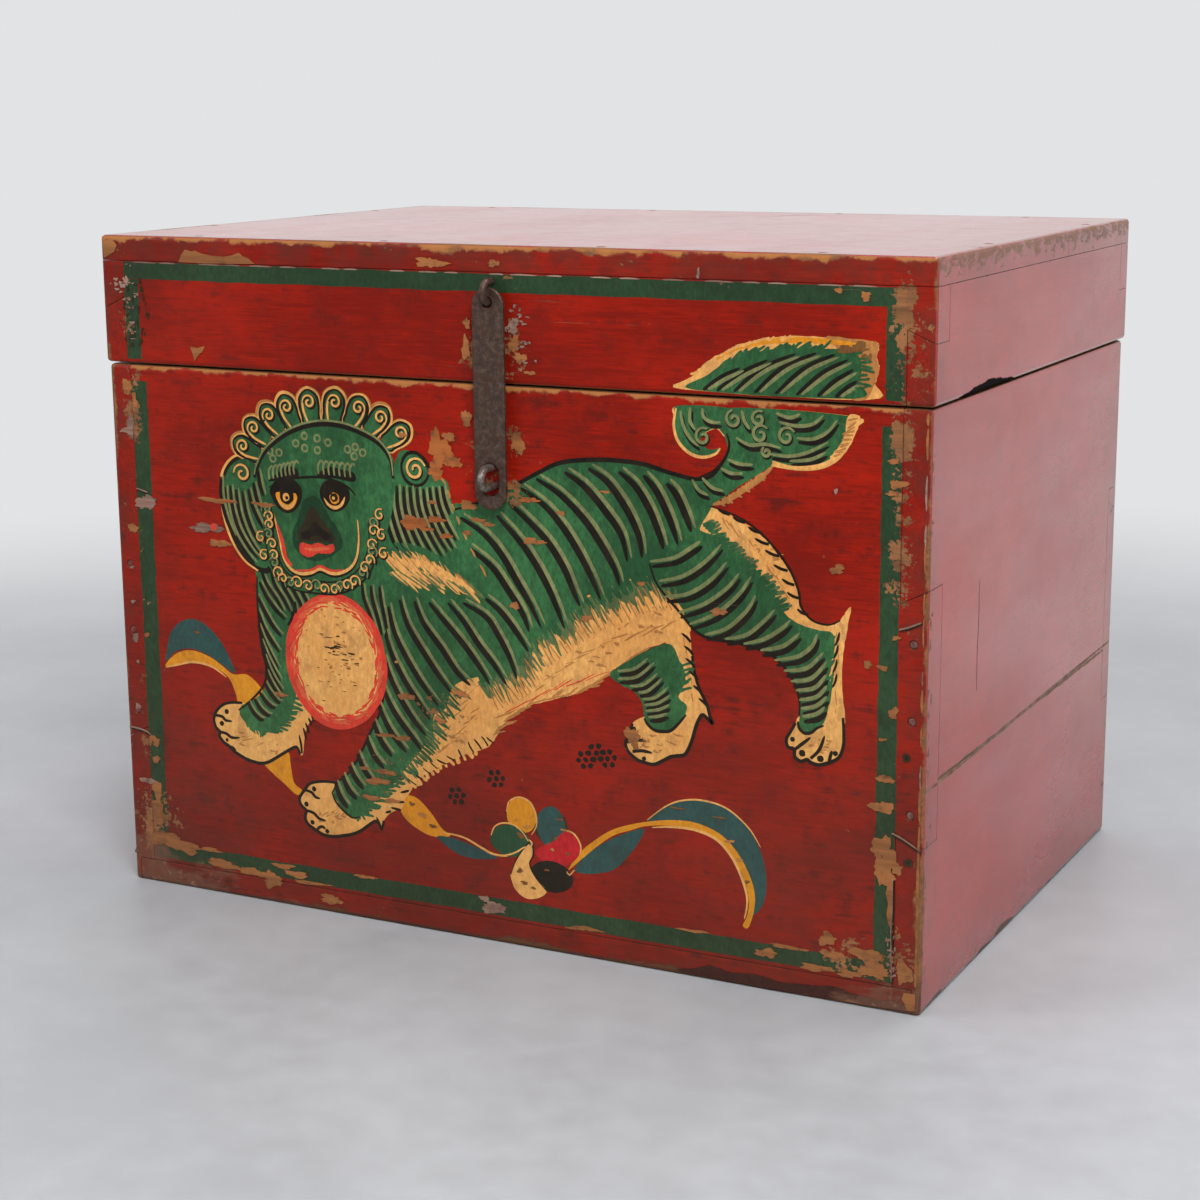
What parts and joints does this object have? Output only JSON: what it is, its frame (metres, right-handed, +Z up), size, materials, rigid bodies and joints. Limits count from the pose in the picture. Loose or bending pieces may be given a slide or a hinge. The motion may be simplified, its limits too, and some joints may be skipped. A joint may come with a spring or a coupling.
{
  "type": "trunk",
  "caption": "Flat-lidded wooden trunk with dovetailed corners, painted front, iron hasp that closes over a staple, and a lid that swings on iron loop hinges.",
  "frame": {"origin": "on the floor, under the middle of the case's width and depth", "axes": "+Z up, -Y toward the front with the hasp, +X to the right of a person facing the front"},
  "size_m": [0.533, 0.4006, 0.41],
  "materials": {
    "red_paint": "old red paint on softwood, rubbed through to the wood along the edges",
    "plain_wood": "bare planed softwood, darkened with age",
    "wrought_iron": "dark forged iron with a dull brown patina",
    "nail_iron": "small forged nails, dull and a little rusty"
  },
  "bodies": {
    "case": {"case_front": "red_paint", "case_back": "red_paint", "case_left_lower_board": "red_paint", "case_left_upper_board": "red_paint", "case_right_lower_board": "red_paint", "case_right_upper_board": "red_paint", "bottom_front_board": "plain_wood", "bottom_rear_board": "plain_wood", "catch_staple": "wrought_iron", "hinge_left_staple": "wrought_iron", "hinge_right_staple": "wrought_iron", "corner_nail_front_left_1": "nail_iron", "corner_nail_front_left_2": "nail_iron", "corner_nail_front_left_3": "nail_iron", "corner_nail_front_right_1": "nail_iron", "corner_nail_front_right_2": "nail_iron", "corner_nail_front_right_3": "nail_iron", "corner_nail_back_left_1": "nail_iron", "corner_nail_back_left_2": "nail_iron", "corner_nail_back_right_1": "nail_iron", "corner_nail_back_right_2": "nail_iron", "bottom_nail_front_1": "nail_iron", "bottom_nail_front_2": "nail_iron", "bottom_nail_back_1": "nail_iron", "bottom_nail_back_2": "nail_iron", "bottom_nail_left_1": "nail_iron", "bottom_nail_left_2": "nail_iron", "bottom_nail_right_1": "nail_iron", "bottom_nail_right_2": "nail_iron"},
    "lid": {"lid_top_front_board": "red_paint", "lid_top_rear_board": "red_paint", "lid_front_rail": "red_paint", "lid_back_rail": "red_paint", "lid_left_rail": "red_paint", "lid_right_rail": "red_paint", "hasp_staple": "wrought_iron", "hinge_left_strap": "wrought_iron", "hinge_right_strap": "wrought_iron", "hinge_left_nail_1": "nail_iron", "hinge_left_nail_2": "nail_iron", "hinge_right_nail_1": "nail_iron", "hinge_right_nail_2": "nail_iron", "lid_nail_front_1": "nail_iron", "lid_nail_front_2": "nail_iron", "lid_nail_front_3": "nail_iron", "lid_nail_front_4": "nail_iron", "lid_nail_back_1": "nail_iron", "lid_nail_back_2": "nail_iron", "lid_nail_back_3": "nail_iron", "lid_nail_back_4": "nail_iron", "lid_nail_left_1": "nail_iron", "lid_nail_left_2": "nail_iron", "lid_nail_right_1": "nail_iron", "lid_nail_right_2": "nail_iron"},
    "hasp": {"hasp_strap": "wrought_iron"}
  },
  "joints": [
    {"name": "lid_hinge", "type": "hinge", "parent": "case", "child": "lid", "pos_m": [0, 0.1887, 0.318], "axis": [-1, 0, 0], "range_deg": [0, 105]},
    {"name": "hasp_hinge", "type": "hinge", "parent": "lid", "child": "hasp", "pos_m": [0.0065, -0.191, 0.3845], "axis": [-1, 0, 0], "range_deg": [0, 165]}
  ]
}
